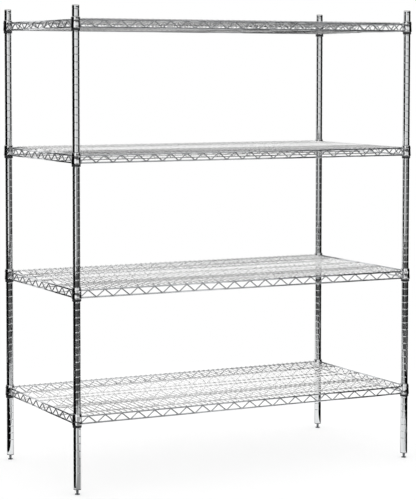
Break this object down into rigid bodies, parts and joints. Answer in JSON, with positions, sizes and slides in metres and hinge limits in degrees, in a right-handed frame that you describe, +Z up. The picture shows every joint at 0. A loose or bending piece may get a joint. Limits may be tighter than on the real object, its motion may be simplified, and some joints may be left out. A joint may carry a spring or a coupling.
{
  "type": "wire shelving rack",
  "caption": "Freestanding wire shelving rack: lift-off wire shelves wedged on split sleeves along grooved tube posts, on screw feet.",
  "frame": {"origin": "on the floor, under the middle of the rack", "axes": "+Z up along the posts, +X along the shelves to the right seen from the front, -Y towards the front"},
  "size_m": [1.3558, 0.6758, 1.6661],
  "materials": {
    "post_chrome": "bright plated tube",
    "collar_chrome": "bright plated, slightly uneven over the drawn collars",
    "wire_chrome": "bright plated wire, dull at the welds",
    "foot_metal": "turned and zinc plated",
    "cap_plastic": "moulded, light grey",
    "sleeve_plastic": "moulded, black"
  },
  "bodies": {
    "post_frame": {"front_left_post": "post_chrome", "front_right_post": "post_chrome", "back_left_post": "post_chrome", "back_right_post": "post_chrome", "post_caps": "cap_plastic", "foot_sockets": "foot_metal", "shelf_1_sleeves": "sleeve_plastic", "shelf_2_sleeves": "sleeve_plastic", "shelf_3_sleeves": "sleeve_plastic", "shelf_4_sleeves": "sleeve_plastic"},
    "shelf_1": {"shelf_1_collars": "collar_chrome", "shelf_1_upper_rim": "wire_chrome", "shelf_1_lower_rim": "wire_chrome", "shelf_1_lacing": "wire_chrome", "shelf_1_cross_wires": "wire_chrome", "shelf_1_runners": "wire_chrome"},
    "shelf_2": {"shelf_2_collars": "collar_chrome", "shelf_2_upper_rim": "wire_chrome", "shelf_2_lower_rim": "wire_chrome", "shelf_2_lacing": "wire_chrome", "shelf_2_cross_wires": "wire_chrome", "shelf_2_runners": "wire_chrome"},
    "shelf_3": {"shelf_3_collars": "collar_chrome", "shelf_3_upper_rim": "wire_chrome", "shelf_3_lower_rim": "wire_chrome", "shelf_3_lacing": "wire_chrome", "shelf_3_cross_wires": "wire_chrome", "shelf_3_runners": "wire_chrome"},
    "shelf_4": {"shelf_4_collars": "collar_chrome", "shelf_4_upper_rim": "wire_chrome", "shelf_4_lower_rim": "wire_chrome", "shelf_4_lacing": "wire_chrome", "shelf_4_cross_wires": "wire_chrome", "shelf_4_runners": "wire_chrome"},
    "front_left_foot": {"front_left_foot": "foot_metal"},
    "front_right_foot": {"front_right_foot": "foot_metal"},
    "back_left_foot": {"back_left_foot": "foot_metal"},
    "back_right_foot": {"back_right_foot": "foot_metal"}
  },
  "joints": [
    {"name": "shelf_1_lift", "type": "slide", "parent": "post_frame", "child": "shelf_1", "axis": [0, 0, 1], "range_m": [0, 0.382]},
    {"name": "shelf_2_lift", "type": "slide", "parent": "post_frame", "child": "shelf_2", "axis": [0, 0, 1], "range_m": [0, 0.408]},
    {"name": "shelf_3_lift", "type": "slide", "parent": "post_frame", "child": "shelf_3", "axis": [0, 0, 1], "range_m": [0, 0.408]},
    {"name": "shelf_4_lift", "type": "slide", "parent": "post_frame", "child": "shelf_4", "axis": [0, 0, 1], "range_m": [0, 0.1]},
    {"name": "front_left_foot_level", "type": "slide", "parent": "post_frame", "child": "front_left_foot", "axis": [0, 0, -1], "range_m": [-0.0125, 0.02]},
    {"name": "front_right_foot_level", "type": "slide", "parent": "post_frame", "child": "front_right_foot", "axis": [0, 0, -1], "range_m": [-0.0125, 0.02]},
    {"name": "back_left_foot_level", "type": "slide", "parent": "post_frame", "child": "back_left_foot", "axis": [0, 0, -1], "range_m": [-0.0125, 0.02]},
    {"name": "back_right_foot_level", "type": "slide", "parent": "post_frame", "child": "back_right_foot", "axis": [0, 0, -1], "range_m": [-0.0125, 0.02]}
  ]
}
